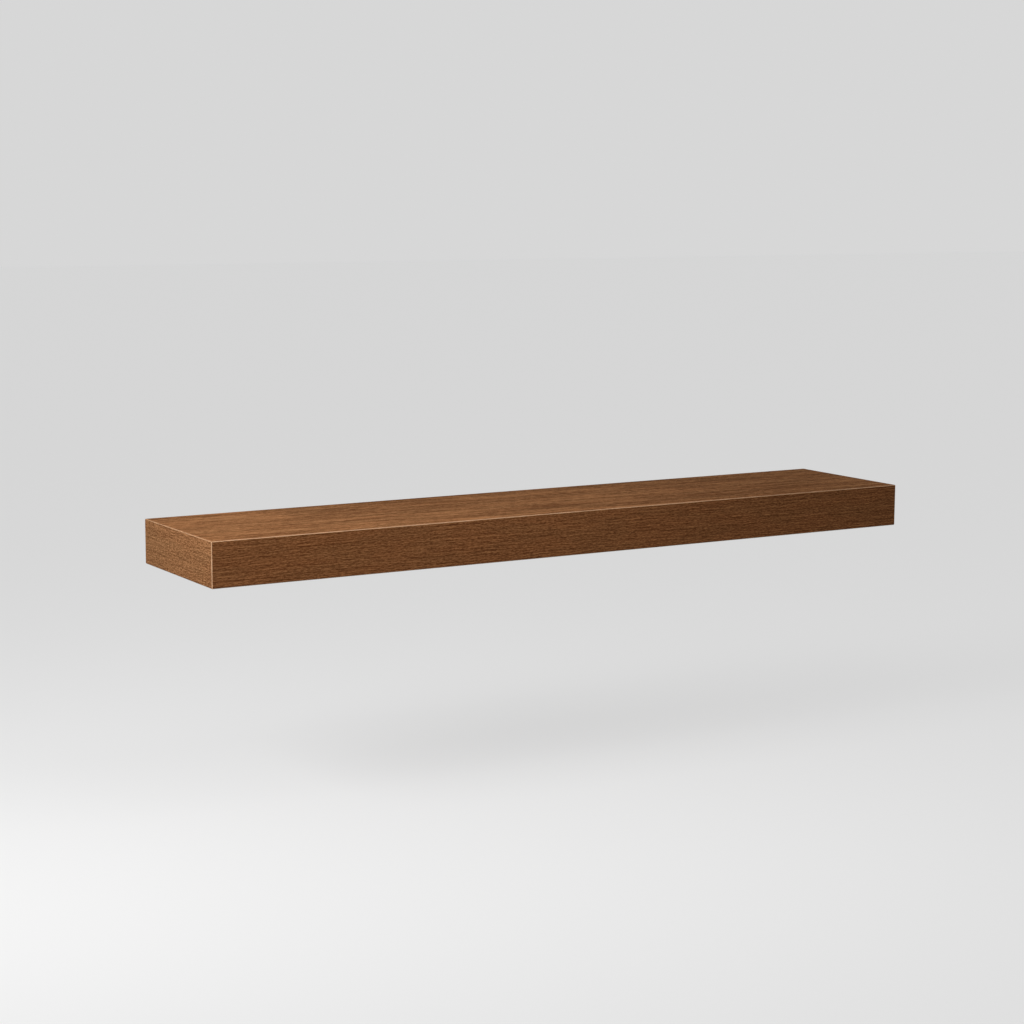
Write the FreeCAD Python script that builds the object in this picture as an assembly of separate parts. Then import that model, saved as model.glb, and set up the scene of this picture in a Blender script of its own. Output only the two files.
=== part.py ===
import FreeCAD, Part
import math
import os

# Floating wall shelf: a veneered hollow box that slides over the rods of a hidden wall bracket.
# Millimetres. X runs along the shelf, -Y points into the room and +Z up. The origin is on the
# wall, at the middle of the shelf's length and thickness, where the rod axes lie.

# Outer box
SHELF_LENGTH = 914.0
SHELF_DEPTH = 184.0
SHELF_THICKNESS = 50.0
ARRIS = 0.8  # leg of the bevel along every outer edge

# Boards and glue
PANEL_THICKNESS = 9.0
GLUE_LINE = 0.1  # between any two wooden pieces that are glued face to face

# Splines across the mitres: strips of plywood in stopped grooves
SPLINE_THICKNESS = 3.0
SPLINE_WIDTH = 7.0
SPLINE_COVER = 5.6  # from the spline's centre line to each of the two outer faces
SPLINE_SETBACK = 14.0  # from the spline's end to the outer face or wall beyond it

# Inner frame
FRONT_RAIL_DEPTH = 22.0
REAR_RAIL_DEPTH = 26.0
END_RAIL_WIDTH = 20.0
ROD_BLOCK_WIDTH = 60.0
TENON_LENGTH = 30.0
TENON_WIDTH = 12.0
TENON_THICKNESS = 6.0
TENON_OFFSET = 20.0  # of a rod block's two tenons, to each side of the rod

# Paper honeycomb in the four bays, drawn out like a concertina until it fills its bay
PAPER_THICKNESS = 0.4  # walls across the ribbons are two sheets thick, the slanted ones one
INNER_CORE_COLUMNS = 8
OUTER_CORE_COLUMNS = 3
CORE_ROWS = 5
CORE_CLEARANCE = 0.3  # to the wooden pieces round the bay

# Wall plate of the bracket, a flat steel bar
PLATE_THICKNESS = 5.0
PLATE_CORNER = 4.0
PLATE_EDGE_CLEARANCE = 1.0  # to the panels above and below
PLATE_END_SPACE = 38.0  # to the end panels
PLATE_FACE_CLEARANCE = 0.5  # to the rear rail
STUD_SPACING = 406.0  # the inner pair of screw holes lines up with studs 16 inches apart
OUTER_HOLE_INSET = 30.0  # from the plate's end
SCREW_HOLE_DIAMETER = 6.5
COUNTERSINK_DIAMETER = 12.5

# Steel rods welded to the plate
ROD_END_INSET = 152.0  # of the outer rods, from the shelf's ends
ROD_DIAMETER = 12.0
ROD_CLEARANCE = 0.2  # radial, in the bored wood
ROD_TIP_SPACE = 8.0  # from the rod's tip to the front rail
ROD_TIP_CHAMFER = 1.5
BORE_END_SPACE = 4.0  # from the rod's tip to the end of its bore
BORE_LEAD_IN = 1.0
SPIGOT_DIAMETER = 8.0  # the rod's turned end, in the plate
SPIGOT_CLEARANCE = 0.05  # radial
WELD_LEG = 3.0
WELD_CLEARANCE = 1.0  # from the bead to its counterbore

# Lock screws: set screws that reach the outer rods from the underside
LOCK_SCREW_SETBACK = 60.0  # from the wall
LOCK_SCREW_DIAMETER = 6.0
LOCK_SCREW_RECESS = 7.0  # from the underside to the socket end
LOCK_SCREW_TIP_GAP = 0.05  # to the rod
LOCK_SCREW_CHAMFER = 0.8
SOCKET_ACROSS_FLATS = 3.0
SOCKET_DEPTH = 3.5
THREAD_CLEARANCE = 0.05  # radial, screw to insert
INSERT_DIAMETER = 9.0
INSERT_CLEARANCE = 0.05  # radial, insert to wood
INSERT_COVER = 0.8  # wood left between the insert and the rod's bore
TIP_HOLE_CLEARANCE = 0.2  # radial, round the screw where it passes that wood
ACCESS_HOLE_DIAMETER = 10.0

# Places that follow from the sizes above
END_X = SHELF_LENGTH / 2
TOP_Z = SHELF_THICKNESS / 2
CAVITY_X = END_X - PANEL_THICKNESS
CAVITY_Z = TOP_Z - PANEL_THICKNESS
CAVITY_Y = -(SHELF_DEPTH - PANEL_THICKNESS)
WOOD_X = CAVITY_X - GLUE_LINE
WOOD_Z = CAVITY_Z - GLUE_LINE
FRONT_RAIL_FRONT = CAVITY_Y + GLUE_LINE
FRONT_RAIL_BACK = FRONT_RAIL_FRONT + FRONT_RAIL_DEPTH
REAR_RAIL_BACK = -(PLATE_THICKNESS + PLATE_FACE_CLEARANCE)
REAR_RAIL_FRONT = REAR_RAIL_BACK - REAR_RAIL_DEPTH
BAY_FRONT = FRONT_RAIL_BACK + GLUE_LINE
BAY_BACK = REAR_RAIL_FRONT - GLUE_LINE
END_RAIL_INNER_X = WOOD_X - END_RAIL_WIDTH
ROD_RADIUS = ROD_DIAMETER / 2
ROD_TIP_Y = FRONT_RAIL_BACK + ROD_TIP_SPACE
BORE_RADIUS = ROD_RADIUS + ROD_CLEARANCE
BORE_END_Y = ROD_TIP_Y - BORE_END_SPACE
OUTER_ROD_X = END_X - ROD_END_INSET
ROD_PLACES = {"left": -OUTER_ROD_X, "centre": 0.0, "right": OUTER_ROD_X}
LOCK_PLACES = {"left": -OUTER_ROD_X, "right": OUTER_ROD_X}
INSERT_TOP_Z = -(BORE_RADIUS + INSERT_COVER)
PLATE_END_X = CAVITY_X - PLATE_END_SPACE
PLATE_EDGE_Z = CAVITY_Z - PLATE_EDGE_CLEARANCE

OUTWARD = FreeCAD.Vector(0, -1, 0)  # the way the rods point


def block(x0, x1, y0, y1, z0, z1):
    """Box between two corners."""
    return Part.makeBox(x1 - x0, y1 - y0, z1 - z0, FreeCAD.Vector(x0, y0, z0))


def rod_cylinder(radius, x, y0, y1, z=0.0):
    """Cylinder along -Y from y0 out to y1."""
    return Part.makeCylinder(radius, y0 - y1, FreeCAD.Vector(x, y0, z), OUTWARD)


def upright_cylinder(radius, x, y, z0, z1):
    """Cylinder along Z between two heights."""
    return Part.makeCylinder(radius, z1 - z0, FreeCAD.Vector(x, y, z0))


def chamfered_end(radius, leg, x, y0, y1):
    """Frustum along -Y that narrows by leg, for a tip, or widens by -leg, for a lead-in."""
    return Part.makeCone(radius, radius - leg, y0 - y1, FreeCAD.Vector(x, y0, 0), OUTWARD)


# ---------------------------------------------------------------- mitred box


def outer_block():
    """The whole shelf as one block, with its outer edges bevelled."""
    solid = block(-END_X, END_X, -SHELF_DEPTH, 0, -TOP_Z, TOP_Z)
    return solid.makeChamfer(ARRIS, solid.Edges)


def cavity():
    """The room inside the five panels, open to the wall."""
    return block(-CAVITY_X, CAVITY_X, CAVITY_Y, ARRIS, -CAVITY_Z, CAVITY_Z)


def outline(corners):
    """Closed wire through a list of points."""
    return Part.makePolygon([FreeCAD.Vector(*corner) for corner in corners + corners[:1]])


def mitred_wedge(outer, inner):
    """Solid between a panel's outer rectangle and its smaller inner one, with sloping mitres."""
    return Part.makeLoft([outline(outer), outline(inner)], True, True)


def horizontal_panel(side):
    """Top (side 1) or bottom (side -1) panel, mitred at both ends and at the front."""
    half = GLUE_LINE / 2  # each mitre gives up half the glue line, measured along the board
    t = PANEL_THICKNESS
    outer_x = END_X - half
    outer_y = -SHELF_DEPTH + half
    outer = [(-outer_x, 0, side * TOP_Z), (outer_x, 0, side * TOP_Z),
             (outer_x, outer_y, side * TOP_Z), (-outer_x, outer_y, side * TOP_Z)]
    inner_z = side * (TOP_Z - t)
    inner = [(-outer_x + t, 0, inner_z), (outer_x - t, 0, inner_z),
             (outer_x - t, outer_y + t, inner_z), (-outer_x + t, outer_y + t, inner_z)]
    return mitred_wedge(outer, inner)


def end_panel(side):
    """Left (side -1) or right (side 1) end panel, mitred at the top, bottom and front."""
    half = GLUE_LINE / 2
    t = PANEL_THICKNESS
    outer_z = TOP_Z - half
    outer_y = -SHELF_DEPTH + half
    outer_x = side * END_X
    outer = [(outer_x, 0, -outer_z), (outer_x, 0, outer_z),
             (outer_x, outer_y, outer_z), (outer_x, outer_y, -outer_z)]
    inner_x = side * (END_X - t)
    inner = [(inner_x, 0, -outer_z + t), (inner_x, 0, outer_z - t),
             (inner_x, outer_y + t, outer_z - t), (inner_x, outer_y + t, -outer_z + t)]
    return mitred_wedge(outer, inner)


def front_panel():
    """Front panel, mitred on all four edges."""
    half = GLUE_LINE / 2
    t = PANEL_THICKNESS
    outer_x = END_X - half
    outer_z = TOP_Z - half
    outer = [(-outer_x, -SHELF_DEPTH, -outer_z), (outer_x, -SHELF_DEPTH, -outer_z),
             (outer_x, -SHELF_DEPTH, outer_z), (-outer_x, -SHELF_DEPTH, outer_z)]
    inner_y = -SHELF_DEPTH + t
    inner = [(-outer_x + t, inner_y, -outer_z + t), (outer_x - t, inner_y, -outer_z + t),
             (outer_x - t, inner_y, outer_z - t), (-outer_x + t, inner_y, outer_z - t)]
    return mitred_wedge(outer, inner)


# ---------------------------------------------------------------- splines


def spline_strip(length, clearance):
    """Strip along +X from the origin, turned 45 degrees about its own length."""
    width = SPLINE_WIDTH + 2 * clearance
    thickness = SPLINE_THICKNESS + 2 * clearance
    strip = Part.makeBox(length + 2 * clearance, width, thickness,
                         FreeCAD.Vector(-clearance, -width / 2, -thickness / 2))
    return strip.rotate(FreeCAD.Vector(), FreeCAD.Vector(1, 0, 0), 45)


def front_spline(side, clearance=0.0):
    """Spline of the long mitre between the front panel and the top or bottom panel."""
    reach = END_X - SPLINE_SETBACK
    strip = spline_strip(2 * reach, clearance)
    if side < 0:
        strip = strip.mirror(FreeCAD.Vector(), FreeCAD.Vector(0, 0, 1))
    strip.translate(FreeCAD.Vector(-reach, -SHELF_DEPTH + SPLINE_COVER, side * (TOP_Z - SPLINE_COVER)))
    return strip


def end_spline(end, side, clearance=0.0):
    """Spline of the mitre between an end panel and the top or bottom panel."""
    strip = spline_strip(SHELF_DEPTH - 2 * SPLINE_SETBACK, clearance)
    strip.rotate(FreeCAD.Vector(), FreeCAD.Vector(0, 0, 1), -90)
    if end * side < 0:
        strip = strip.mirror(FreeCAD.Vector(), FreeCAD.Vector(0, 0, 1))
    strip.translate(FreeCAD.Vector(end * (END_X - SPLINE_COVER), -SPLINE_SETBACK,
                                   side * (TOP_Z - SPLINE_COVER)))
    return strip


def corner_spline(end, clearance=0.0):
    """Upright spline of the short mitre between an end panel and the front panel."""
    reach = TOP_Z - SPLINE_SETBACK
    strip = spline_strip(2 * reach, clearance)
    strip.rotate(FreeCAD.Vector(), FreeCAD.Vector(0, 1, 0), -90)
    if end > 0:
        strip = strip.mirror(FreeCAD.Vector(), FreeCAD.Vector(1, 0, 0))
    strip.translate(FreeCAD.Vector(end * (END_X - SPLINE_COVER), -SHELF_DEPTH + SPLINE_COVER, -reach))
    return strip


def front_splines(clearance=0.0):
    return [front_spline(side, clearance) for side in (-1, 1)]


def end_splines(end, clearance=0.0):
    return [end_spline(end, side, clearance) for side in (-1, 1)] + [corner_spline(end, clearance)]


# ---------------------------------------------------------------- inner frame


def bored(solid, x, y_from):
    """Cut a rod's bore, with a lead-in, into a wooden piece that starts at y_from."""
    bore = rod_cylinder(BORE_RADIUS, x, y_from, BORE_END_Y)
    lead_in = chamfered_end(BORE_RADIUS + BORE_LEAD_IN, BORE_LEAD_IN, x, y_from, y_from - BORE_LEAD_IN)
    return solid.cut([bore, lead_in])


def rear_rail():
    """Rail behind the wall plate: bored for the rods, with room for their weld beads."""
    rail = block(-WOOD_X, WOOD_X, REAR_RAIL_FRONT, REAR_RAIL_BACK, -WOOD_Z, WOOD_Z)
    for x in ROD_PLACES.values():
        room_radius = ROD_RADIUS + WELD_LEG + WELD_CLEARANCE
        room_floor = -PLATE_THICKNESS - WELD_LEG - WELD_CLEARANCE
        rail = rail.cut(rod_cylinder(room_radius, x, REAR_RAIL_BACK, room_floor))
        rail = bored(rail, x, room_floor)
    return rail


def rod_block(x):
    """Block of wood across the cavity that carries one rod."""
    half = ROD_BLOCK_WIDTH / 2
    solid = block(x - half, x + half, BAY_FRONT, BAY_BACK, -WOOD_Z, WOOD_Z)
    return bored(solid, x, BAY_BACK)


def lock_rod_block(x):
    """Rod block with the pocket for a thread insert and the hole for its screw's tip."""
    y = -LOCK_SCREW_SETBACK
    pocket = upright_cylinder(INSERT_DIAMETER / 2 + INSERT_CLEARANCE, x, y, -TOP_Z, INSERT_TOP_Z)
    tip_radius = LOCK_SCREW_DIAMETER / 2 + TIP_HOLE_CLEARANCE
    tip_hole = upright_cylinder(tip_radius, x, y, INSERT_TOP_Z, 0)
    return rod_block(x).cut([pocket, tip_hole])


def front_rail():
    return block(-WOOD_X, WOOD_X, FRONT_RAIL_FRONT, FRONT_RAIL_BACK, -WOOD_Z, WOOD_Z)


def end_rail(side):
    x0, x1 = sorted((side * END_RAIL_INNER_X, side * WOOD_X))
    return block(x0, x1, BAY_FRONT, BAY_BACK, -WOOD_Z, WOOD_Z)


def tenon_places():
    """X of every tenon; each x has one tenon in the front rail and one in the rear rail."""
    ends = [side * (WOOD_X - END_RAIL_WIDTH / 2) for side in (-1, 1)]
    blocks = [x + side * TENON_OFFSET for x in ROD_PLACES.values() for side in (-1, 1)]
    return ends + blocks


def tenons(clearance=0.0):
    """Loose tenons across the joints of the frame, half in each piece; or the slots for them."""
    reach = TENON_LENGTH / 2 + clearance
    half_width = TENON_WIDTH / 2 + clearance
    half_thickness = TENON_THICKNESS / 2 + clearance
    return [block(x - half_width, x + half_width, y - reach, y + reach, -half_thickness, half_thickness)
            for x in tenon_places() for y in (BAY_FRONT, BAY_BACK)]


# ---------------------------------------------------------------- honeycomb


def hexagon(x, y, half_x, half_y):
    """Face of one cell, upright on a point; half_x to its flats and half_y to its points."""
    shoulder = half_y / 2
    points = [(x, y + half_y), (x + half_x, y + shoulder), (x + half_x, y - shoulder),
              (x, y - half_y), (x - half_x, y - shoulder), (x - half_x, y + shoulder)]
    return Part.Face(outline([(px, py, 0) for px, py in points]))


def honeycomb(x0, x1, columns):
    """Paper lattice between two uprights, with its cells cut open along the bay's sides."""
    left, right = x0 + CORE_CLEARANCE, x1 - CORE_CLEARANCE
    front, back = BAY_FRONT + CORE_CLEARANCE, BAY_BACK - CORE_CLEARANCE
    pitch_x = (right - left) / columns
    pitch_y = (back - front) / CORE_ROWS
    half_x = pitch_x / 2 - PAPER_THICKNESS
    half_y = pitch_y * 2 / 3 - PAPER_THICKNESS / math.sqrt(3)
    cells = []
    for row in range(-1, CORE_ROWS + 1):
        shift = 0.5 if row % 2 == 0 else 0.0
        for column in range(-1, columns + 1):
            x = left + (column + shift) * pitch_x
            y = front + (row + 0.5) * pitch_y
            cells.append(hexagon(x, y, half_x, half_y))
    sheet = Part.makePlane(right - left, back - front, FreeCAD.Vector(left, front, 0))
    lattice = sheet.cut(cells)
    lattice.translate(FreeCAD.Vector(0, 0, -WOOD_Z))
    return lattice.extrude(FreeCAD.Vector(0, 0, 2 * WOOD_Z))


def honeycombs():
    """The cores of the four bays between the end rails and the rod blocks, from the left."""
    half = ROD_BLOCK_WIDTH / 2
    uprights = [-END_RAIL_INNER_X]
    for x in ROD_PLACES.values():
        uprights += [x - half, x + half]
    uprights.append(END_RAIL_INNER_X)
    columns = (OUTER_CORE_COLUMNS, INNER_CORE_COLUMNS, INNER_CORE_COLUMNS, OUTER_CORE_COLUMNS)
    return [honeycomb(x0, x1, count) for x0, x1, count in zip(uprights[0::2], uprights[1::2], columns)]


# ---------------------------------------------------------------- wall bracket


def countersunk_hole(x):
    """Through hole and its 90 degree countersink, which opens at the plate's front."""
    radius = SCREW_HOLE_DIAMETER / 2
    head = COUNTERSINK_DIAMETER / 2
    hole = rod_cylinder(radius, x, 0, -PLATE_THICKNESS)
    sink = chamfered_end(radius, radius - head, x, -PLATE_THICKNESS + head - radius, -PLATE_THICKNESS)
    return hole.fuse(sink)


def screw_places():
    inner = STUD_SPACING / 2
    outer = PLATE_END_X - OUTER_HOLE_INSET
    return (-outer, -inner, inner, outer)


def wall_plate():
    """Flat bar with rounded corners, countersunk screw holes and holes for the rods' spigots."""
    plate = block(-PLATE_END_X, PLATE_END_X, -PLATE_THICKNESS, 0, -PLATE_EDGE_Z, PLATE_EDGE_Z)
    corners = [edge for edge in plate.Edges if abs(edge.tangentAt(edge.FirstParameter).y) > 0.5]
    plate = plate.makeFillet(PLATE_CORNER, corners)
    spigot_holes = [rod_cylinder(SPIGOT_DIAMETER / 2 + SPIGOT_CLEARANCE, x, 0, -PLATE_THICKNESS)
                    for x in ROD_PLACES.values()]
    return plate.cut([countersunk_hole(x) for x in screw_places()] + spigot_holes)


def support_rod(x):
    """Round bar: a turned spigot through the plate, a shoulder on it and a chamfered tip."""
    spigot = rod_cylinder(SPIGOT_DIAMETER / 2, x, 0, -PLATE_THICKNESS)
    bar = rod_cylinder(ROD_RADIUS, x, -PLATE_THICKNESS, ROD_TIP_Y + ROD_TIP_CHAMFER)
    tip = chamfered_end(ROD_RADIUS, ROD_TIP_CHAMFER, x, ROD_TIP_Y + ROD_TIP_CHAMFER, ROD_TIP_Y)
    return spigot.fuse([bar, tip]).removeSplitter()


def weld_bead(x):
    """Fillet weld round a rod: a triangle turned about the rod's axis."""
    root_x = x + ROD_RADIUS
    section = outline([(root_x, -PLATE_THICKNESS, 0), (root_x + WELD_LEG, -PLATE_THICKNESS, 0),
                       (root_x, -PLATE_THICKNESS - WELD_LEG, 0)])
    return Part.Face(section).revolve(FreeCAD.Vector(x, 0, 0), FreeCAD.Vector(0, 1, 0), 360)


# ---------------------------------------------------------------- lock screws


def thread_insert(x):
    """Brass sleeve in the rod block's underside, with its thread drawn as a plain bore."""
    y = -LOCK_SCREW_SETBACK
    sleeve = upright_cylinder(INSERT_DIAMETER / 2, x, y, -WOOD_Z, INSERT_TOP_Z)
    bore_radius = LOCK_SCREW_DIAMETER / 2 + THREAD_CLEARANCE
    return sleeve.cut(upright_cylinder(bore_radius, x, y, -WOOD_Z, INSERT_TOP_Z))


def lock_screw(x):
    """Set screw with a chamfered tip and a hexagon socket that opens downwards."""
    y = -LOCK_SCREW_SETBACK
    radius = LOCK_SCREW_DIAMETER / 2
    tip_z = -(ROD_RADIUS + LOCK_SCREW_TIP_GAP)
    end_z = -TOP_Z + LOCK_SCREW_RECESS
    shank = upright_cylinder(radius, x, y, end_z, tip_z - LOCK_SCREW_CHAMFER)
    tip = Part.makeCone(radius, radius - LOCK_SCREW_CHAMFER, LOCK_SCREW_CHAMFER,
                        FreeCAD.Vector(x, y, tip_z - LOCK_SCREW_CHAMFER))
    corner = SOCKET_ACROSS_FLATS / math.sqrt(3)
    hexagon_points = [(x + corner * math.cos(math.radians(60 * k)),
                       y + corner * math.sin(math.radians(60 * k)), end_z) for k in range(6)]
    socket = Part.Face(outline(hexagon_points)).extrude(FreeCAD.Vector(0, 0, SOCKET_DEPTH))
    return shank.fuse(tip).removeSplitter().cut(socket)


def access_holes():
    """Holes through the bottom panel, under the lock screws."""
    return [upright_cylinder(ACCESS_HOLE_DIAMETER / 2, x, -LOCK_SCREW_SETBACK, -TOP_Z, -CAVITY_Z)
            for x in LOCK_PLACES.values()]


# ---------------------------------------------------------------- assembly


def box_panels():
    """The five panels of the box, bevelled, hollow and grooved for their splines."""
    shell = outer_block().cut(cavity())
    grooves = front_splines(GLUE_LINE) + end_splines(-1, GLUE_LINE) + end_splines(1, GLUE_LINE)
    wedges = {"top_panel": horizontal_panel(1), "bottom_panel": horizontal_panel(-1),
              "front_panel": front_panel(), "left_end_panel": end_panel(-1),
              "right_end_panel": end_panel(1)}
    panels = {name: shell.common(wedge).cut(grooves) for name, wedge in wedges.items()}
    panels["bottom_panel"] = panels["bottom_panel"].cut(access_holes())
    return panels


def frame_pieces():
    """Rails and rod blocks, each with the slots for its tenons."""
    pieces = {"front_rail": front_rail(), "rear_rail": rear_rail(),
              "left_end_rail": end_rail(-1), "right_end_rail": end_rail(1),
              "rod_block_left": lock_rod_block(ROD_PLACES["left"]),
              "rod_block_centre": rod_block(ROD_PLACES["centre"]),
              "rod_block_right": lock_rod_block(ROD_PLACES["right"])}
    slots = tenons(GLUE_LINE)
    return {name: piece.cut(slots) for name, piece in pieces.items()}


def bracket_pieces():
    """Wall plate, its three rods and their welds."""
    pieces = {"wall_plate": wall_plate()}
    for name, x in ROD_PLACES.items():
        pieces[f"support_rod_{name}"] = support_rod(x)
    pieces["weld_beads"] = Part.makeCompound([weld_bead(x) for x in ROD_PLACES.values()])
    return pieces


def hardware():
    """Splines, tenons, inserts and lock screws."""
    pieces = {"front_splines": Part.makeCompound(front_splines()),
              "left_end_splines": Part.makeCompound(end_splines(-1)),
              "right_end_splines": Part.makeCompound(end_splines(1)),
              "frame_tenons": Part.makeCompound(tenons()),
              "thread_inserts": Part.makeCompound([thread_insert(x) for x in LOCK_PLACES.values()])}
    for name, x in LOCK_PLACES.items():
        pieces[f"lock_screw_{name}"] = lock_screw(x)
    return pieces


def all_pieces():
    pieces = {**box_panels(), **frame_pieces(), **bracket_pieces(), **hardware()}
    for number, core in enumerate(honeycombs(), start=1):
        pieces[f"honeycomb_core_{number}"] = core
    return pieces


def export():
    os.makedirs("parts", exist_ok=True)
    for name, piece in all_pieces().items():
        piece.exportStep(f"parts/{name}.step")


export()
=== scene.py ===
import math

import bmesh
import bpy
from mathutils import Matrix, Vector

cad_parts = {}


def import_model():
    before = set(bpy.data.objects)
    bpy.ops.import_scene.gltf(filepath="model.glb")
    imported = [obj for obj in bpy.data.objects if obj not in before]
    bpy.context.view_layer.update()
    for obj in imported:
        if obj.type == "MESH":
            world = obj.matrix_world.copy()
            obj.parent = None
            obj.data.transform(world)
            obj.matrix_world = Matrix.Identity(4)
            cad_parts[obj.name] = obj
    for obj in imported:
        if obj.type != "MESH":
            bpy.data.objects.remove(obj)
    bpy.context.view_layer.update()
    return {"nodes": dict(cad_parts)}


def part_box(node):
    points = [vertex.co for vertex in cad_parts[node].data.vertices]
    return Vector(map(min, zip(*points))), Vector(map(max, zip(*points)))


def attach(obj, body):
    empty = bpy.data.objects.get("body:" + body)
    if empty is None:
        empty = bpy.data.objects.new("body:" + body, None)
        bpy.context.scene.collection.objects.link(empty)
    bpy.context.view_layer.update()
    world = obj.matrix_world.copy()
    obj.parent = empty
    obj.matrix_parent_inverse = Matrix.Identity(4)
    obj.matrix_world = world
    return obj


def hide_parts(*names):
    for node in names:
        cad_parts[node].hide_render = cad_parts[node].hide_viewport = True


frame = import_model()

# Looks of the floating shelf. Metres, in the CAD frame: +X along the shelf, -Y into the room, +Z up.

# Camera, at the photograph's viewing angle
CAMERA_TARGET = Vector((-0.0406, -0.0915, 0.0146))
CAMERA_AZIMUTH = math.radians(-30.79)
CAMERA_ELEVATION = math.radians(8.32)
CAMERA_ROLL = math.radians(0.25)
CAMERA_DISTANCE = 2.6206
CAMERA_CLIP = (0.05, 100.0)
LENS_MM = 79.33
SENSOR_MM = 36.0

# Light and stage
LAMP_SIZE = 0.5
LAMP_TARGET = Vector((-0.1, -0.09, 0.0))
KEY_PLACE = Vector((-1.14, -0.33, 0.57))
KEY_WATTS = 9.5
FILL_PLACE = Vector((-0.16, -0.56, 0.54))
FILL_WATTS = 1.6
WORLD_LIGHT = 0.26
BACK_LIGHT = 1.1  # more of the world's light from behind and the right, for the sides turned from the key
BACK_SIDE = (0.72, 0.69, 0.0)
BACK_SPREAD = (0.7, 1.0)  # cosines of the angle from BACK_SIDE where that light begins and is full
BACKGROUND = 0.68  # brightness of the pale surroundings, as the camera and reflections see them
FLOOR_DROP = 0.26  # below the shelf's underside
FLOOR_SIZE = 30.0
FLOOR_GLOW = 0.58  # on top of the lit paint, as the camera and reflections see the floor
FLOOR_PAINT = 0.30

# Measures of the shelf, from the frame
TOP_LOW, TOP_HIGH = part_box("top_panel")
TOP_Z = TOP_HIGH.z
PANEL_THICKNESS = TOP_HIGH.z - TOP_LOW.z
END_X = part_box("right_end_panel")[1].x
FRONT_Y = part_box("front_panel")[0].y
CAVITY_X = END_X - PANEL_THICKNESS
CAVITY_Z = TOP_Z - PANEL_THICKNESS
LOCK_LOW, LOCK_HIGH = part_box("lock_screw_right")
LOCK_CENTRE = (LOCK_LOW + LOCK_HIGH) / 2
PLATE_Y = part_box("wall_plate")[0].y

# Measures of the shelf that no box gives
ARRIS = 0.0008  # leg of the bevel along every outer edge
VENEER = 0.0006  # thickness
ACCESS_RADIUS = 0.0052  # a little over the access hole's radius

# Turned and threaded metal
SIDES = 72  # round an axis
ANGLES = [2 * math.pi * step / SIDES for step in range(SIDES)]
UP = Vector((0, 0, 1))
OUTWARD = Vector((0, -1, 0))  # the way the rods point
THREAD_STEPS = 12  # along an axis, for each turn of a thread
THREAD_PITCH = 0.001
THREAD_DEPTH = 0.0005
THREAD_FLAT = 0.1  # share of the pitch that each crest takes, and each root
SCREW_CHAMFER = 0.0008
CUP_DEPTH = 0.0006
CUP_RIM, CUP_FLOOR = 0.6, 0.4  # shares of the screw's radius
SOCKET_FLATS = 0.003
SOCKET_DEPTH = 0.0035
INSERT_BORE_RADIUS = 0.00305
KNURL_DEPTH = 0.0002
KNURLED_BANDS = (0.92, 0.60), (0.40, 0.08)  # top and bottom of each, in shares of the insert's length
SPIGOT_RADIUS = 0.004
ROD_TIP = (0.0, 0.0015), (0.00135, 0.0001), (0.0017, 0.0)  # in from the rod's radius, back from its tip
WELD_LEG = 0.003
WELD_ROOT = 0.0003  # how far the bead runs into the rod
WELD_STEPS = 10
WELD_CROWN = 0.12  # how far the bead stands out, in shares of its leg
WELD_RIPPLES = 27
WELD_RIPPLE_DEPTH = 0.14  # in shares of the leg
WELD_RIPPLE_LEAN = 0.10  # radians that a ripple's middle lies ahead of its ends
SMOOTH_ANGLE = math.radians(35)
EDGE_ROUND = 0.0004
EDGE_SEGMENTS = 2
EDGE_ANGLE = math.radians(40)


def srgb(red, green, blue):
    """Linear colour with alpha from 0-255 screen values."""
    def linear(value):
        value /= 255
        return value / 12.92 if value <= 0.04045 else ((value + 0.055) / 1.055) ** 2.4
    return (linear(red), linear(green), linear(blue), 1.0)


# Light, dark and pore colours of each wood
WALNUT = srgb(178, 126, 84), srgb(103, 65, 39), srgb(84, 51, 29)
# Copies of the walnut with painted light: the front's is redder and darker as in shade, the ends' paler as
# in light
WALNUT_PAINTED_SHADED = srgb(175, 119, 76), srgb(102, 60, 33), srgb(84, 48, 26)
WALNUT_PAINTED_LIT = srgb(178, 129, 88), srgb(104, 67, 41), srgb(84, 51, 30)
POPLAR = srgb(214, 184, 146), srgb(196, 162, 122), srgb(168, 136, 100)
BIRCH = srgb(214, 184, 142), srgb(196, 162, 118), srgb(170, 136, 96)

# Pairs of colours that noise mixes
PLIES = srgb(196, 160, 118), srgb(158, 118, 80)
# Bevel colours, lighter than the veneer: partly wood rubbed bare on the edges, partly a painted highlight
# along them
RUBBED_AND_HIGHLIT = srgb(220, 177, 140), srgb(210, 167, 131)
BLACK_COAT = srgb(34, 34, 36), srgb(78, 78, 80)
KRAFT = srgb(150, 116, 80), srgb(184, 148, 108)

ZINC = srgb(176, 178, 180)
BRASS = srgb(206, 170, 98)
WHITE = (1.0, 1.0, 1.0, 1.0)


# ---------------------------------------------------------------- shader building


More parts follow.
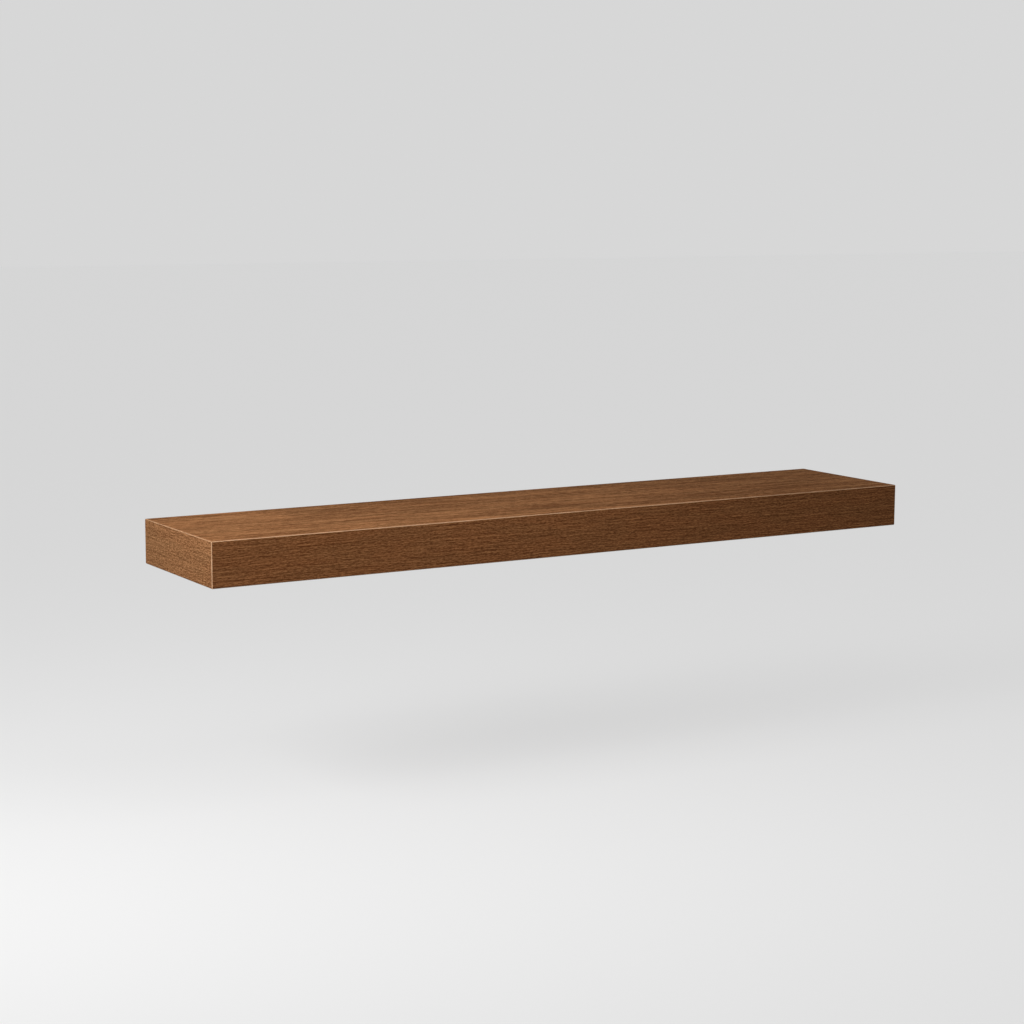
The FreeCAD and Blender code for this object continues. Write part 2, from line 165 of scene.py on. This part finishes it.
class Shader:
    """The node tree of a material or the world, with short calls for the nodes that repeat."""

    def __init__(self, owner, place="Object"):
        owner.use_nodes = True
        self.owner = owner
        self.tree = owner.node_tree
        self.bsdf = self.tree.nodes.get("Principled BSDF")
        self.place = self.node("ShaderNodeTexCoord").outputs[place]

    def node(self, kind, inputs=None, **settings):
        node = self.tree.nodes.new(kind)
        for key, value in settings.items():
            setattr(node, key, value)
        for socket, value in (inputs or {}).items():
            self.feed(node.inputs[socket], value)
        return node

    def feed(self, socket, value):
        """Link a value to a socket, or set it there if it is a plain one."""
        if isinstance(value, bpy.types.NodeSocket):
            self.tree.links.new(value, socket)
        else:
            socket.default_value = value

    def surface(self, **inputs):
        """Set or link the Principled shader's sockets, with _ for a space."""
        for key, value in inputs.items():
            self.feed(self.bsdf.inputs[key.replace("_", " ")], value)
        return self.owner

    def math(self, operation, a, b=0.0, c=0.0):
        return self.node("ShaderNodeMath", {0: a, 1: b, 2: c}, operation=operation).outputs[0]

    def chain(self, operation, value, *others):
        """Result of a two-part operation on all the values, from left to right."""
        for other in others:
            value = self.math(operation, value, other)
        return value

    def vector(self, operation, a, b=(0, 0, 0)):
        node = self.node("ShaderNodeVectorMath", {0: a, 1: b}, operation=operation)
        return node.outputs["Value" if operation in ("LENGTH", "DOT_PRODUCT") else "Vector"]

    def parts(self, vector):
        return self.node("ShaderNodeSeparateXYZ", {0: vector}).outputs

    def join(self, x, y, z):
        return self.node("ShaderNodeCombineXYZ", {0: x, 1: y, 2: z}).outputs[0]

    def noise(self, vector, stretch, detail=0.0, roughness=0.5):
        """Noise with so many cells a metre along each axis, flat where two are given."""
        flat = len(stretch) == 2
        scaled = self.vector("MULTIPLY", vector, (*stretch, 0.0) if flat else stretch)
        inputs = {"Vector": scaled, "Scale": 1.0, "Detail": detail, "Roughness": roughness}
        kind = "2D" if flat else "3D"
        return self.node("ShaderNodeTexNoise", inputs, noise_dimensions=kind).outputs["Fac"]

    def fibres(self, vector, stretch):
        """Chance value of each of the long thin cells of a flat sheet, which run into each other."""
        scaled = self.vector("MULTIPLY", vector, (*stretch, 0.0))
        inputs = {"Vector": scaled, "Scale": 1.0, "Smoothness": 0.5}
        cells = self.node("ShaderNodeTexVoronoi", inputs, voronoi_dimensions="2D", feature="SMOOTH_F1")
        return self.parts(cells.outputs["Color"])[0]

    def ramp(self, value, low, high, first=0.0, last=1.0):
        """Smooth step from first to last as value goes from low to high."""
        inputs = {"Value": value, "From Min": low, "From Max": high, "To Min": first, "To Max": last}
        return self.node("ShaderNodeMapRange", inputs, interpolation_type="SMOOTHSTEP").outputs["Result"]

    def blend(self, factor, a, b):
        """Mix of two colours, from a at 0 to b at 1."""
        node = self.node("ShaderNodeMix", data_type="RGBA")
        self.feed(node.inputs[0], factor)
        self.feed(node.inputs[6], a)
        self.feed(node.inputs[7], b)
        return node.outputs[2]

    def shade(self, colour, amount):
        """Colour multiplied by a grey amount."""
        if not isinstance(colour, bpy.types.NodeSocket):
            colour = colour[:3]
        return self.node("ShaderNodeVectorMath", {0: colour, "Scale": amount}, operation="SCALE").outputs[0]

    def bump(self, height, distance, strength):
        inputs = {"Height": height, "Distance": distance, "Strength": strength}
        return self.node("ShaderNodeBump", inputs).outputs["Normal"]

    def facing(self):
        """Components of the face's own direction in the object's axes, as absolute values."""
        normal = self.node("ShaderNodeNewGeometry").outputs["True Normal"]
        turned = self.node("ShaderNodeVectorTransform", {0: normal}, vector_type="NORMAL",
                           convert_from="WORLD", convert_to="OBJECT").outputs[0]
        return self.parts(self.vector("ABSOLUTE", turned))


# Stretches of a noise's values over which it turns from one look to the other
NOISE_RANGE = (0.3, 0.7)
BROAD_RANGE = (0.32, 0.68)
CRISP_RANGE = (0.35, 0.65)


# ---------------------------------------------------------------- wood


# Cells a metre along and across the grain, and for fibres how often a metre they fade out and in
BROAD_LAYERS = (
    (1.3, 20.0),  # figure
    (4.0, 130.0),  # growth lines
    (45.0, 200.0),  # mottle
    (100.0, 950.0),  # flecks
)
FIBRE_LAYERS = (
    (6.0, 500.0, 25.0),  # streaks
    (18.0, 780.0, 90.0),  # dashes
    (80.0, 1050.0, 320.0),  # specks
)
HAIRS = (90.0, 3800.0)  # too fine to see from a step away
PORES = (50.0, 760.0)
WAVES = (9.0, 22.0)
FRAY = (150.0, 1800.0)
DRIFT = (5.0, 60.0)  # of the hue
REDDENED, YELLOWED = (1.02, 0.995, 0.98), (0.985, 1.0, 1.0)

WAVE_REACH = 0.002  # how far waves push the grain lines aside
FRAY_ALONG, FRAY_ACROSS = 0.004, 0.0002  # how far fibres are frayed
FIBRE_STEP = 0.0011  # each fibre is set against its neighbour this far across the grain
FIBRE_RANGE = (-0.9, 0.9)  # of the difference between the two
PORE_RANGE = (0.82, 0.92)  # of the chance values, so that few fibres are pores
HAIR_SHARE = 0.16
TONE_CURVE = 1.3  # keeps dark fibres from standing out more than light ones

# How much shorter and finer the grain is than in those layers, the share of the light-to-dark range
# that each broad and each fibre layer takes, and how dark the pores are
TOP_GRAIN = dict(shorter=2.2, finer=1.0, broad=(0.13, 0.22, 0.14, 0.10), fine=(0.45, 0.45, 0.60),
                 pores=0.3)
FRONT_GRAIN = dict(shorter=2.5, finer=1.1, broad=(0.02, 0.02, 0.0, 0.21), fine=(0.46, 0.25, 0.47),
                   pores=0.2)
END_GRAIN = dict(shorter=2.6, finer=0.95, broad=(0.04, 0.05, 0.0, 0.27), fine=(0.20, 0.30, 0.30),
                 pores=0.2)
FRAME_GRAIN = dict(shorter=1.0, finer=1.0, broad=(0.10, 0.15, 0.05, 0.10), fine=(0.35, 0.40, 0.30),
                   pores=0.3)

PORE_BUMP = 0.0002  # depth
PLY = 0.0013  # thickness
PLY_STEP = (0.0005, 0.0008)  # from a ply's middle, where its colour turns into the next one's

# Cells a metre along each axis
PLY_SPECKS = (900.0, 900.0, 900.0)
ARRIS_WOBBLE = (45.0, 45.0, 45.0)
# patches in the lighter bevel colour, which is partly worn wood and partly a painted highlight
RUBBED_AND_HIGHLIT_PATCHES = (60.0, 60.0, 60.0)

LEAST_RUBBED_AND_HIGHLIT = 0.75  # share of the bevel's width that is lightened where it is narrowest: rubbed bare and painted as a highlight
BEVEL_REACH = 1.2  # in legs: a spot on the bevel is less than this from the edge's two sides together
END_TOP_RUB_AND_HIGHLIGHT, END_FRONT_RUB_AND_HIGHLIGHT, TOP_FRONT_RUB_AND_HIGHLIGHT = 0.5, 1.0, 0.9  # how far each kind of edge is rubbed, and how bright its painted highlight is
BEVEL_FACING = 0.9  # a face is a bevel if no part of its direction is over this
REAR_FACING = 0.95  # and an edge at the wall if its part to the rear is over this
HOLE_FACING = 0.5  # and the wall of an upright hole if its part upwards is under this


def wavering(shader, along, across):
    """Place on a sheet of veneer, pushed about so that grain lines waver and fray."""
    place = shader.join(along, across, 0.0)
    push = shader.math("SUBTRACT", shader.noise(place, WAVES, detail=1.0), 0.5)
    fray = shader.math("SUBTRACT", shader.noise(place, FRAY, detail=2.0), 0.5)
    across = shader.math("MULTIPLY_ADD", push, WAVE_REACH, across)
    return shader.join(shader.math("MULTIPLY_ADD", fray, FRAY_ALONG, along),
                       shader.math("MULTIPLY_ADD", fray, FRAY_ACROSS, across), 0.0)


def grain(shader, along, across, look, shades):
    """Colour and pores of a wooden face: figure, growth lines, fibres and pores."""
    light, dark, pore = shades
    lines = wavering(shader, shader.math("MULTIPLY", along, look["shorter"]),
                     shader.math("MULTIPLY", across, look["finer"]))
    beside = shader.vector("ADD", lines, (0.0, FIBRE_STEP, 0.0))
    tone = 0.5
    for stretch, weight in zip(BROAD_LAYERS, look["broad"]):
        layer = shader.ramp(shader.noise(lines, stretch, detail=2.0), *BROAD_RANGE, -weight, weight)
        tone = shader.math("ADD", tone, layer)
    for (*stretch, fades), weight in zip(FIBRE_LAYERS, look["fine"]):
        change = shader.math("SUBTRACT", shader.fibres(lines, stretch), shader.fibres(beside, stretch))
        fade = shader.ramp(shader.noise(lines, (fades, stretch[1])), *CRISP_RANGE, 0.0, weight)
        tone = shader.math("MULTIPLY_ADD", shader.ramp(change, *FIBRE_RANGE, -1.0, 1.0), fade, tone)
    hairs = shader.noise(lines, HAIRS, detail=3.0, roughness=0.6)
    tone = shader.math("ADD", tone, shader.ramp(hairs, *NOISE_RANGE, -HAIR_SHARE, HAIR_SHARE))
    tone = shader.math("POWER", shader.math("MAXIMUM", tone, 0.0), TONE_CURVE)

    drift = shader.ramp(shader.noise(lines, DRIFT, detail=2.0), *CRISP_RANGE)
    hue = shader.node("ShaderNodeMix", {"Factor": drift, 4: YELLOWED, 5: REDDENED}, data_type="VECTOR")
    colour = shader.vector("MULTIPLY", shader.blend(tone, dark, light), hue.outputs[1])
    pores = shader.ramp(shader.fibres(lines, PORES), *PORE_RANGE)
    return shader.blend(shader.math("MULTIPLY", pores, look["pores"]), colour, pore), pores


def pore_bump(shader, pores, strength):
    return shader.bump(shader.math("SUBTRACT", 1.0, pores), PORE_BUMP, strength)


def ply_edge(shader, depth):
    """Colour of a cut plywood edge, by the depth through the board."""
    band = shader.ramp(shader.math("PINGPONG", depth, PLY), *PLY_STEP)
    speck = shader.noise(shader.place, PLY_SPECKS, detail=2.0)
    return shader.shade(shader.blend(band, *PLIES), shader.ramp(speck, *NOISE_RANGE, 0.85, 1.08))


def rubbed_and_highlit_bevel(shader):
    """How far a spot near an outer edge is lightened, in the middle of the edge's bevel: partly rubbed
    through, partly a painted highlight.
    """
    px, py, pz = shader.parts(shader.place)
    from_end = shader.math("SUBTRACT", END_X, shader.math("ABSOLUTE", px))
    from_top = shader.math("SUBTRACT", TOP_Z, shader.math("ABSOLUTE", pz))
    from_front = shader.math("SUBTRACT", py, FRONT_Y)
    wobble = shader.noise(shader.place, ARRIS_WOBBLE, detail=2.0)
    width = shader.ramp(wobble, *NOISE_RANGE, ARRIS * LEAST_RUBBED_AND_HIGHLIT, ARRIS)
    rubbed_and_highlit = 0.0
    for one, other, rub_and_highlight in ((from_end, from_top, END_TOP_RUB_AND_HIGHLIGHT), (from_end, from_front, END_FRONT_RUB_AND_HIGHLIGHT),
                             (from_top, from_front, TOP_FRONT_RUB_AND_HIGHLIGHT)):
        apart = shader.math("ABSOLUTE", shader.math("SUBTRACT", one, other))
        middle = shader.math("GREATER_THAN", width, apart)
        near = shader.math("LESS_THAN", shader.math("ADD", one, other), ARRIS * BEVEL_REACH)
        rubbed_and_highlit = shader.math("MAXIMUM", rubbed_and_highlit, shader.chain("MULTIPLY", middle, near, rub_and_highlight))
    return rubbed_and_highlit


def bare_plywood(shader, rearward, upward):
    """Where a panel shows its plywood, at the wall, in a hole and inside, and its colour there."""
    px, py, pz = shader.parts(shader.place)
    depth_x = shader.math("SUBTRACT", shader.math("ABSOLUTE", px), CAVITY_X)
    depth_z = shader.math("SUBTRACT", shader.math("ABSOLUTE", pz), CAVITY_Z)
    depth = shader.math("MAXIMUM", depth_x, depth_z)
    core = shader.math("MULTIPLY", shader.math("GREATER_THAN", depth, VENEER),
                       shader.math("LESS_THAN", depth, PANEL_THICKNESS - VENEER))
    at_wall = shader.math("MULTIPLY", shader.math("GREATER_THAN", rearward, REAR_FACING),
                          shader.math("GREATER_THAN", py, -VENEER))
    from_hole = shader.join(shader.math("SUBTRACT", shader.math("ABSOLUTE", px), LOCK_CENTRE.x),
                            shader.math("SUBTRACT", py, LOCK_CENTRE.y), 0.0)
    near_hole = shader.math("LESS_THAN", shader.vector("LENGTH", from_hole), ACCESS_RADIUS)
    in_hole = shader.math("MULTIPLY", near_hole, shader.math("LESS_THAN", upward, HOLE_FACING))
    cut = shader.math("MULTIPLY", shader.math("MAXIMUM", at_wall, in_hole), core)
    inside = shader.math("MULTIPLY", shader.math("LESS_THAN", depth, VENEER),
                         shader.math("GREATER_THAN", py, FRONT_Y + PANEL_THICKNESS / 2))
    return shader.math("MAXIMUM", cut, inside), ply_edge(shader, depth)


def veneer(name, along, across, shift, look, shades):
    """Lacquered veneer on a panel, with its grain along one axis, lighter on the bevels: partly rubbed
    through, partly a painted highlight.
    """
    shader = Shader(bpy.data.materials.new(name))
    axes = shader.parts(shader.vector("ADD", shader.place, shift))
    colour, pores = grain(shader, axes[along], axes[across], look, shades)

    x, y, z = shader.facing()
    bevel = shader.math("LESS_THAN", shader.chain("MAXIMUM", x, y, z), BEVEL_FACING)
    # The bevels get a lighter colour: partly wood rubbed bare, partly a painted highlight
    patches = shader.ramp(shader.noise(shader.place, RUBBED_AND_HIGHLIT_PATCHES, detail=2.0), *NOISE_RANGE)
    rubbed_and_highlit = shader.math("MULTIPLY", bevel, rubbed_and_highlit_bevel(shader))
    colour = shader.blend(rubbed_and_highlit, colour, shader.blend(patches, *RUBBED_AND_HIGHLIT))
    bare, plywood = bare_plywood(shader, y, z)
    return shader.surface(Base_Color=shader.blend(bare, colour, plywood), Specular_IOR_Level=0.001,
                          Roughness=shader.ramp(pores, 0.0, 1.0, 0.82, 0.92),
                          Normal=pore_bump(shader, pores, 0.5))


def frame_wood(name, along, across, shades):
    """Unfinished wood of the inner frame, with its grain along one axis."""
    shader = Shader(bpy.data.materials.new(name))
    axes = shader.parts(shader.place)
    colour, pores = grain(shader, axes[along], axes[across], FRAME_GRAIN, shades)
    return shader.surface(Base_Color=colour, Roughness=0.75, Specular_IOR_Level=0.3,
                          Normal=pore_bump(shader, pores, 0.4))


# ---------------------------------------------------------------- metal and paper


# Cells a metre along each axis
ORANGE_PEEL = (900.0, 900.0, 900.0)
SCUFFS = (500.0, 16.0, 500.0)
DRAWN_MARKS = (2400.0, 2400.0, 300.0)
PAPER_FIBRES = (600.0, 600.0, 900.0)

SCUFF_RANGE = (0.60, 0.72)  # of the noise, so that scuffs are few


def powder_coat(name):
    """Black powder coat with its fine orange peel, and dull scuffs along the rods."""
    shader = Shader(bpy.data.materials.new(name))
    peel = shader.noise(shader.place, ORANGE_PEEL, detail=2.0)
    scuffs = shader.ramp(shader.noise(shader.place, SCUFFS, detail=3.0, roughness=0.65), *SCUFF_RANGE)
    return shader.surface(Base_Color=shader.blend(scuffs, *BLACK_COAT), Specular_IOR_Level=0.5,
                          Roughness=shader.ramp(peel, *NOISE_RANGE, 0.42, 0.56),
                          Normal=shader.bump(peel, 0.00012, 0.6))


def bare_metal(name, colour):
    """Plain metal with drawn marks."""
    shader = Shader(bpy.data.materials.new(name))
    marks = shader.noise(shader.place, DRAWN_MARKS, detail=2.0)
    shaded = shader.shade(colour, shader.ramp(marks, *NOISE_RANGE, 0.88, 1.05))
    return shader.surface(Base_Color=shaded, Metallic=1.0, Normal=shader.bump(marks, 0.00003, 0.5),
                          Roughness=shader.ramp(marks, *NOISE_RANGE, 0.30, 0.42))


def kraft_paper(name):
    """Brown paper with its fibres."""
    shader = Shader(bpy.data.materials.new(name))
    fibres = shader.noise(shader.place, PAPER_FIBRES, detail=4.0, roughness=0.7)
    colour = shader.blend(shader.ramp(fibres, *NOISE_RANGE), *KRAFT)
    return shader.surface(Base_Color=colour, Roughness=0.9, Normal=shader.bump(fibres, 0.0001, 0.5))


def coat(piece, material):
    """Replace all of an object's materials by one."""
    piece.data.materials.clear()
    piece.data.materials.append(material)


def coat_wood_and_paper():
    """Give every wooden and paper node its material."""
    along_x = frame_wood("poplar_lengthways", "X", "Z", POPLAR)
    along_y = frame_wood("poplar_crossways", "Y", "X", POPLAR)
    ply_x = frame_wood("birch_ply_lengthways", "X", "Y", BIRCH)
    ply_y = frame_wood("birch_ply_crossways", "Y", "X", BIRCH)
    paper = kraft_paper("kraft_paper")
    materials = {
        "top_panel": veneer("top_veneer", "X", "Y", (0.31, 0.07, 0.0), TOP_GRAIN, WALNUT),
        "bottom_panel": veneer("bottom_veneer", "X", "Y", (1.7, 0.9, 0.4), TOP_GRAIN, WALNUT),
        # the front gets the walnut copy with painted shade, the ends the copy with painted light
        "front_panel": veneer("front_veneer", "X", "Z", (0.9, 0.2, 0.63), FRONT_GRAIN, WALNUT_PAINTED_SHADED),
        "left_end_panel": veneer("left_end_veneer", "Y", "Z", (0.7, 0.3, 0.2), END_GRAIN, WALNUT_PAINTED_LIT),
        "right_end_panel": veneer("right_end_veneer", "Y", "Z", (0.1, 0.9, 0.5), END_GRAIN, WALNUT_PAINTED_LIT),
        "front_rail": along_x, "rear_rail": along_x, "left_end_rail": along_y, "right_end_rail": along_y,
        "rod_block_left": along_y, "rod_block_centre": along_y, "rod_block_right": along_y,
        "front_splines": ply_x, "left_end_splines": ply_y, "right_end_splines": ply_y,
        "frame_tenons": ply_y,
    }
    for number in range(1, 5):
        materials[f"honeycomb_core_{number}"] = paper
    for name, material in materials.items():
        coat(frame["nodes"][name], material)


# ---------------------------------------------------------------- turned and threaded metal

# A ring is a list of (radius, height) pairs, one for each of ANGLES.


def circle(radius, height):
    return [(radius, height)] * SIDES


def hexagon(flats, height):
    return [(flats / 2 / math.cos(angle % (math.pi / 3) - math.pi / 6), height) for angle in ANGLES]


def knurled(radius, height):
    return [(radius - KNURL_DEPTH * (step % 2), height) for step in range(SIDES)]


def thread(low, high, radius, chamfer=0.0):
    """Rings of a thread with its crests at radius, cut off by a chamfer at both ends."""
    steps = round((high - low) / THREAD_PITCH * THREAD_STEPS)
    rings = []
    for step in range(steps + 1):
        height = low + (high - low) * step / steps
        limit = radius - max(0.0, chamfer - (height - low), chamfer - (high - height))
        ring = []
        for angle in ANGLES:
            turn = (height / THREAD_PITCH - angle / (2 * math.pi)) % 1
            flank = (abs(2 * turn - 1) - THREAD_FLAT) / (1 - 2 * THREAD_FLAT)
            groove = min(1.0, max(0.0, flank))
            ring.append((min(limit, radius - THREAD_DEPTH * groove), height))
        rings.append(ring)
    return rings


def skin(bm, place, axis, rings, closed=False):
    """Join rings round an axis by faces, and the last ring to the first or each end to a cap."""
    turn = UP.rotation_difference(axis).to_matrix()
    loops = []
    for ring in rings:
        points = [Vector((radius * math.cos(angle), radius * math.sin(angle), height))
                  for angle, (radius, height) in zip(ANGLES, ring)]
        loops.append([bm.verts.new(place + turn @ point) for point in points])
    following = loops[1:] + loops[:1] if closed else loops[1:]
    for near, far in zip(loops, following):
        for k in range(SIDES):
            after = (k + 1) % SIDES
            bm.faces.new((near[k], near[after], far[after], far[k]))
    if not closed:
        bm.faces.new(loops[0])
        bm.faces.new(loops[-1])


def fit(name, bm, body, node, material):
    """Finish a mesh as the piece that stands for a CAD node."""
    bmesh.ops.recalc_face_normals(bm, faces=bm.faces)
    mesh = bpy.data.meshes.new(name)
    bm.to_mesh(mesh)
    bm.free()
    mesh.shade_smooth()
    mesh.set_sharp_from_angle(angle=SMOOTH_ANGLE)
    piece = bpy.data.objects.new(name, mesh)
    bpy.context.collection.objects.link(piece)
    coat(piece, material)
    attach(piece, body)
    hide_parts(node)


def lock_screw(side, material):
    """Set screw with a thread, a cup point upwards and a hexagon socket downwards."""
    low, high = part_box(f"lock_screw_{side}")
    middle = (low + high) / 2
    radius = (high.x - low.x) / 2
    length = high.z - low.z
    socket = [hexagon(SOCKET_FLATS, SOCKET_DEPTH), hexagon(SOCKET_FLATS, 0.0)]
    cup = [circle(radius * CUP_RIM, length), circle(radius * CUP_FLOOR, length - CUP_DEPTH)]
    bm = bmesh.new()
    rings = socket + thread(0.0, length, radius, SCREW_CHAMFER) + cup
    skin(bm, Vector((middle.x, middle.y, low.z)), UP, rings)
    fit(f"{side}_lock_screw_threaded", bm, f"{side}_lock_screw", f"lock_screw_{side}",
        material)


def thread_inserts(material):
    """Brass sleeves with a thread inside and two knurled bands outside."""
    low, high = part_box("thread_inserts")
    middle = (low + high) / 2
    radius = (high.y - low.y) / 2
    length = high.z - low.z
    sunk = radius - KNURL_DEPTH
    outside = [circle(sunk, length)]
    for top, bottom in KNURLED_BANDS:
        outside += [circle(sunk, top * length), knurled(radius, top * length),
                    knurled(radius, bottom * length), circle(sunk, bottom * length)]
    outside.append(circle(sunk, 0.0))
    mouth = INSERT_BORE_RADIUS + THREAD_DEPTH
    inside = [circle(mouth, 0.0)] + thread(THREAD_DEPTH, length, mouth)
    bm = bmesh.new()
    for x in (-LOCK_CENTRE.x, LOCK_CENTRE.x):
        skin(bm, Vector((x, middle.y, low.z)), UP, inside + outside, closed=True)
    fit("knurled_thread_inserts", bm, "shelf_box", "thread_inserts", material)


def support_rod(place, material):
    """Turned bar with its spigot, its shoulder on the plate and its chamfered tip."""
    low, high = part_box(f"support_rod_{place}")
    middle = (low + high) / 2
    radius = (high.x - low.x) / 2
    length = high.y - low.y
    shoulder = high.y - PLATE_Y
    rings = [circle(SPIGOT_RADIUS, 0.0), circle(SPIGOT_RADIUS, shoulder), circle(radius, shoulder)]
    rings += [circle(radius - inward, length - back) for inward, back in ROD_TIP]
    bm = bmesh.new()
    skin(bm, Vector((middle.x, high.y, middle.z)), OUTWARD, rings)
    fit(f"turned_rod_{place}", bm, "wall_bracket", f"support_rod_{place}", material)


def weld_bead_rings(rod_radius):
    """Rings of a full fillet weld, rippled as the arc stepped round the rod."""
    rings = [circle(rod_radius - WELD_ROOT, 0.0)]
    for step in range(WELD_STEPS + 1):
        share = step / WELD_STEPS
        bulge = math.sin(math.pi * share)
        crown = WELD_CROWN * bulge
        ring = []
        for angle in ANGLES:
            ripple = abs(math.sin(WELD_RIPPLES * (angle + WELD_RIPPLE_LEAN * bulge) / 2))
            reach = WELD_LEG * (1 - WELD_RIPPLE_DEPTH + WELD_RIPPLE_DEPTH * ripple)
            ring.append((rod_radius + reach * (1 - share + crown), reach * (share + crown)))
        rings.append(ring)
    return rings


def weld_beads(material):
    bm = bmesh.new()
    for place in ("left", "centre", "right"):
        low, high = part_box(f"support_rod_{place}")
        middle = (low + high) / 2
        rings = weld_bead_rings((high.x - low.x) / 2)
        skin(bm, Vector((middle.x, PLATE_Y, middle.z)), OUTWARD, rings, closed=True)
    fit("rippled_weld_beads", bm, "wall_bracket", "weld_beads", material)


def round_edges(piece):
    """Break a CAD piece's sharp edges."""
    bevel = piece.modifiers.new("edges", "BEVEL")
    bevel.width = EDGE_ROUND
    bevel.segments = EDGE_SEGMENTS
    bevel.limit_method = "ANGLE"
    bevel.angle_limit = EDGE_ANGLE
    bevel.harden_normals = True


def metal_pieces():
    """The pieces with threads, knurls and ripples, on the bodies of the plain solids they stand for."""
    steel = powder_coat("black_powder_coat")
    zinc = bare_metal("zinc_plated_steel", ZINC)
    for side in ("left", "right"):
        lock_screw(side, zinc)
    thread_inserts(bare_metal("brass", BRASS))
    for place in ("left", "centre", "right"):
        support_rod(place, steel)
    weld_beads(steel)
    coat(frame["nodes"]["wall_plate"], steel)
    round_edges(frame["nodes"]["wall_plate"])


# ---------------------------------------------------------------- stage, light and camera


def seen(shader):
    """1 for the rays of the camera and of shiny and clear surfaces, which meet the pale background."""
    rays = shader.node("ShaderNodeLightPath").outputs
    return shader.chain("MAXIMUM", rays["Is Camera Ray"], rays["Is Glossy Ray"],
                        rays["Is Transmission Ray"])


def floor():
    """Plain pale floor that keeps the shelf's shadow."""
    mesh = bpy.data.meshes.new("floor")
    half = FLOOR_SIZE / 2
    height = -TOP_Z - FLOOR_DROP
    corners = [(-half, -half, height), (half, -half, height), (half, half, height), (-half, half, height)]
    mesh.from_pydata(corners, [], [(0, 1, 2, 3)])
    piece = bpy.data.objects.new("floor", mesh)
    bpy.context.collection.objects.link(piece)
    shader = Shader(bpy.data.materials.new("floor"))
    paint = (FLOOR_PAINT, FLOOR_PAINT, FLOOR_PAINT, 1.0)
    glow = shader.math("MULTIPLY", seen(shader), FLOOR_GLOW)
    coat(piece, shader.surface(Base_Color=paint, Roughness=1.0, Specular_IOR_Level=0.0,
                               Emission_Color=WHITE, Emission_Strength=glow))


def world():
    """Even light from all round, seen by the camera and in reflections as a pale background."""
    scene_world = bpy.data.worlds.new("studio")
    bpy.context.scene.world = scene_world
    shader = Shader(scene_world, "Generated")
    toward = shader.vector("DOT_PRODUCT", shader.place, BACK_SIDE)
    light = shader.ramp(toward, *BACK_SPREAD, WORLD_LIGHT, WORLD_LIGHT + BACK_LIGHT)
    level = shader.node("ShaderNodeMix", {"Factor": seen(shader), "A": light, "B": BACKGROUND})
    background = shader.tree.nodes["Background"]
    shader.feed(background.inputs["Color"], WHITE)
    shader.feed(background.inputs["Strength"], level.outputs["Result"])


def soft_lamp(name, place, watts):
    """Square area lamp, soft and near enough for its light to fall off along the shelf."""
    data = bpy.data.lights.new(name, "AREA")
    data.shape = "SQUARE"
    data.size = LAMP_SIZE
    data.energy = watts
    lamp = bpy.data.objects.new(name, data)
    bpy.context.collection.objects.link(lamp)
    turn = (place - LAMP_TARGET).to_track_quat("Z", "Y").to_matrix().to_4x4()
    lamp.matrix_world = Matrix.Translation(place) @ turn


def camera():
    data = bpy.data.cameras.new("camera")
    data.lens = LENS_MM
    data.sensor_width = SENSOR_MM
    data.clip_start, data.clip_end = CAMERA_CLIP
    piece = bpy.data.objects.new("camera", data)
    bpy.context.collection.objects.link(piece)
    level = math.cos(CAMERA_ELEVATION)
    back = Vector((math.sin(CAMERA_AZIMUTH) * level, -math.cos(CAMERA_AZIMUTH) * level,
                   math.sin(CAMERA_ELEVATION)))
    place = CAMERA_TARGET + back * CAMERA_DISTANCE
    turn = back.to_track_quat("Z", "Y").to_matrix().to_4x4() @ Matrix.Rotation(CAMERA_ROLL, 4, "Z")
    piece.matrix_world = Matrix.Translation(place) @ turn
    bpy.context.scene.camera = piece


bpy.context.scene.view_settings.view_transform = "Standard"
camera()
world()
soft_lamp("key", KEY_PLACE, KEY_WATTS)
soft_lamp("fill", FILL_PLACE, FILL_WATTS)
floor()
coat_wood_and_paper()
metal_pieces()
